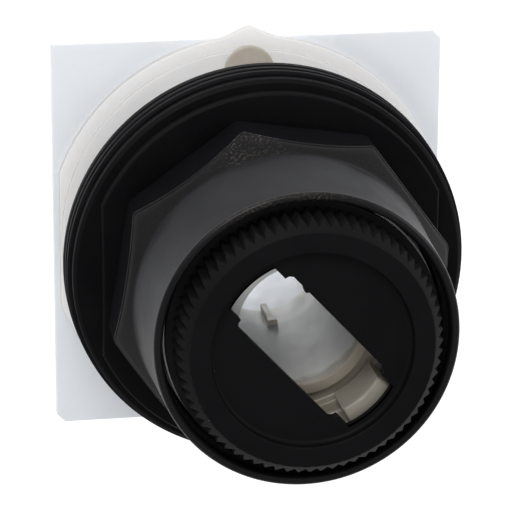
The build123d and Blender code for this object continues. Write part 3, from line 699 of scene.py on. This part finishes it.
def operator_base():
    plate = polygon_radius(plate_points())
    upper, lower = (rounded_box(x, y, HOUSING_CORNER) for x, y in
                    ((UPPER_HALF_X, UPPER_HALF_Y), (LOWER_HALF_X, LOWER_HALF_Y)))
    cavity, front_cavity = (rounded_box(x - WALL, y - WALL, HOUSING_CORNER - 0.3) for x, y in
                            ((LOWER_HALF_X, LOWER_HALF_Y), (UPPER_HALF_X, UPPER_HALF_Y)))
    bossy = boss_outline()

    def overhangs(t):
        return bossy(t) > plate(t) - 0.15

    def boss_foot(t):
        """The boss stands on the plate, or on the plate's edge where it overhangs."""
        return bossy(t), (BOSS_BACK if overhangs(t) else PLATE_FRONT)

    def plate_edge(inset, drop):
        def row(t):
            if overhangs(t):
                return plate(t), BOSS_BACK - drop
            return plate(t) - inset, PLATE_FRONT - drop
        return row

    rows = rounded([(NECK_BORE_R, FRONT_WALL_BACK), (NECK_BORE_R, NECK_END, 0.3), (NECK_R, NECK_END, 0.3),
                    (NECK_R, PILOT_HEIGHT, 0.1), (PILOT_R, PILOT_HEIGHT, 0.25), (PILOT_R, 0, 0.08),
                    (BOSS_INNER_R - 0.1, 0, 0.05), (BOSS_INNER_R + 0.02, -BOSS_STEP)], 4)
    rows += outline_rows(bossy, rounded([(0.07, -BOSS_STEP), (0, -BOSS_STEP - 0.05),
                                         (0, PLATE_FRONT + 0.1)], 4))
    rows += [boss_foot, plate_edge(0.10, 0.0), plate_edge(0.03, 0.03), plate_edge(0.0, 0.10)]
    rows += outline_rows(plate, [(0, PLATE_BACK + 0.05), (0.05, PLATE_BACK)])
    rows += outline_rows(polygon_radius(upper), [(0, PLATE_BACK), (0, UPPER_BACK + 0.2), (0.2, UPPER_BACK)])
    rows += outline_rows(polygon_radius(lower), [(0, UPPER_BACK), (0, HOUSING_BACK + 0.02)])
    rows += outline_rows(polygon_radius(cavity), [(0, HOUSING_BACK + 0.02), (0, UPPER_BACK + WALL)])
    rows += outline_rows(polygon_radius(front_cavity), [(0, UPPER_BACK + WALL), (0, FRONT_WALL_BACK)])
    extra = point_angles(plate_points() + POINTER + upper + lower)
    extra += flat_corner_angles(BOSS_R, BOSS_HALF_X)
    piece = shell("operator_base_body", rows, angles(512, extra), LOOKS["white"], "base", sharp=35)
    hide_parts("operator_base")


def neck_thread():
    """Helical ridge of the neck that the ring nut runs on."""
    pitch, low, high = THREAD_PITCH, PILOT_HEIGHT + 0.5, NECK_END - 1.6
    per_turn, run_out = 72, 24
    total = ceil((high - low) / pitch * per_turn)
    verts, faces = [], []
    for i in range(total + 1):
        a = 2 * pi * i / per_turn
        z = low + pitch * i / per_turn
        fade = min(1.0, i / run_out, (total - i) / run_out)
        root, crest = NECK_R - 0.15, NECK_R - 0.13 + THREAD_HEIGHT * fade
        for r, dz in ((root, -0.62), (crest, -0.14), (crest, 0.14), (root, 0.62)):
            verts.append((r * cos(a), r * sin(a), z + dz))
    for i in range(total):
        for j in range(4):
            k = (j + 1) % 4
            faces.append((4 * i + j, 4 * i + k, 4 * i + 4 + k, 4 * i + 4 + j))
    faces.append((3, 2, 1, 0))
    faces.append((4 * total, 4 * total + 1, 4 * total + 2, 4 * total + 3))
    piece = finish_mesh("neck_thread", verts, faces, LOOKS["white"], "base", 50)


def locating_key():
    """Rounded key let into the boss, over the CAD key with its nib for the panel's notch; its beige is
    painted shade under the black gasket's edge.
    """
    outline = []
    for k in range(25):
        a = pi * k / 24
        outline.append((KEY_HALF_WIDTH * cos(a), KEY_ARC_Y + KEY_HALF_WIDTH * sin(a)))
    outline += [(-KEY_HALF_WIDTH, KEY_INNER_Y), (KEY_HALF_WIDTH, KEY_INNER_Y)]
    levels = [(0.0, -0.7), (0.0, 0.02), (0.05, 0.08), (0.16, 0.12), (0.4, 0.14)]
    centre = Vector((0, KEY_CENTRE_Y))
    piece = raised_block("locating_key_inlay", outline, centre, levels, LOOKS["beige"], "base", 60)


# ---- stage -----------------------------------------------------------------------------------
def add_light(name, place, aim, size, power, glossy=True):
    lamp = bpy.data.lights.new(name, "AREA")
    lamp.shape = "DISK"
    lamp.size = size
    lamp.energy = power
    holder = bpy.data.objects.new(name, lamp)
    holder.visible_glossy = glossy
    holder.location = place
    holder.rotation_euler = (Vector(aim) - Vector(place)).to_track_quat("-Z", "Y").to_euler()
    bpy.context.scene.collection.objects.link(holder)


def floor_and_world():
    half = 3.0
    z = cad_low[2]
    corners = [(-half, -half, z), (half, -half, z), (half, half, z), (-half, half, z)]
    mesh = bpy.data.meshes.new("floor")
    mesh.from_pydata(corners, [], [(0, 1, 2, 3)])
    floor = bpy.data.objects.new("floor", mesh)
    bpy.context.scene.collection.objects.link(floor)
    look = Look("floor_paper")
    look.colour(look.ramp(look.noise(0.01), [(0.3, (0.80, 0.80, 0.80)), (0.7, (0.82, 0.82, 0.82))]))
    look.set(Roughness=0.9, Emission_Strength=0.5)
    look.shader.inputs["Emission Color"].default_value = (1, 1, 1, 1)
    mesh.materials.append(look.material)
    world = bpy.data.worlds.new("studio")
    world.use_nodes = True
    world.node_tree.nodes["Background"].inputs["Color"].default_value = (0.95, 0.97, 1, 1)
    world.node_tree.nodes["Background"].inputs["Strength"].default_value = 0.42
    bpy.context.scene.world = world
    bpy.context.scene.view_settings.view_transform = "Standard"


def lights():
    """Two soft lights from the sides, one over the front that adds no gloss, and one below the bore."""
    centre = (0, 0, 0.015)
    add_light("key_light", (-0.20, 0.50, 0.42), centre, 0.35, 2.4)
    add_light("right_light", (0.6, 0.25, 0.30), centre, 0.3, 1.0)
    add_light("front_fill", (-0.08, -0.03, 0.68), centre, 0.4, 1.30, glossy=False)
    add_light("under_light", (0, 0, cad_low[2] + 0.0005), centre, 0.018, 0.0025)


def add_camera():
    """Long lens, looking down on the front from above and to the left."""
    camera = bpy.data.cameras.new("camera")
    camera.lens = 210.9
    camera.sensor_width = 36.0
    camera.clip_start, camera.clip_end = 0.01, 20
    holder = bpy.data.objects.new("camera", camera)
    holder.location = (-0.0530, 0.1028, 0.3042)
    holder.rotation_euler = Euler((radians(-18.943), radians(-9.919), radians(0.356)), "XYZ")
    bpy.context.scene.collection.objects.link(holder)
    bpy.context.scene.camera = holder


# ---- build everything ---------------------------------------------------------------------------
dress_cad_nodes()
for layer, layer_radius in GASKET_RADII.items():
    gasket(layer, layer_radius)
clamp_washer()
trim_washer()
ring_nut()
knob_seat()
rotor()
drive_key()
operator_base()
neck_thread()
locating_key()
floor_and_world()
lights()
add_camera()
